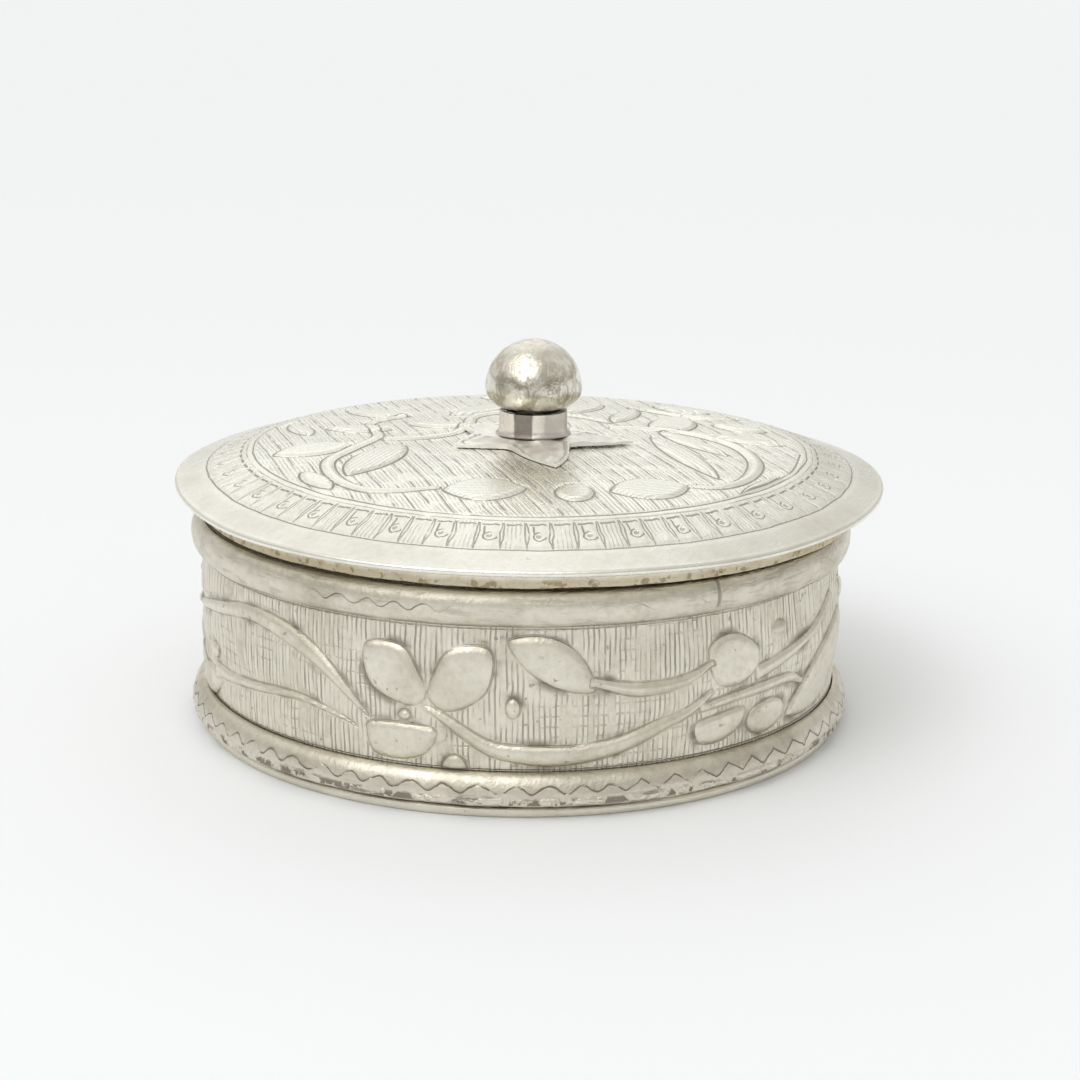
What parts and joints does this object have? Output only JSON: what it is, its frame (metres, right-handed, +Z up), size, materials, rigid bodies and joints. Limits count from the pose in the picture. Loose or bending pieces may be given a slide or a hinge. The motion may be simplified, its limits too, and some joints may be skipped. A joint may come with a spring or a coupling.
{
  "type": "lidded pill box",
  "caption": "Round embossed silver box with a lift-off domed lid, engraved on top, and a ball knob on a petalled rosette.",
  "frame": {"origin": "centre of the drum's flat underside, where the box stands", "axes": "+Z up through the drum's middle; -Y towards the front, the side with the paired petals; +X to the right seen from the front"},
  "size_m": [0.0448, 0.0448, 0.0239],
  "materials": {
    "bright_silver": "polished handmade silver, finely scratched",
    "worn_silver": "satin worn silver with dark grey in the recesses",
    "tarnished_silver": "brown and olive tarnish"
  },
  "bodies": {
    "base": {"base_plate": "worn_silver", "drum_wall": "worn_silver", "foot_band": "bright_silver", "mouth_collar": "bright_silver", "inner_bezel": "tarnished_silver"},
    "lid": {"lid_dome": "bright_silver", "lid_skirt": "worn_silver", "knob_rosette": "bright_silver", "knob_neck": "worn_silver", "knob_ball_lower": "bright_silver", "knob_ball_upper": "bright_silver", "knob_rivet": "worn_silver", "rivet_washer": "worn_silver"}
  },
  "joints": [
    {"name": "lid_lift", "type": "slide", "parent": "base", "child": "lid", "axis": [0, 0, 1], "range_m": [0, 0.03]}
  ]
}
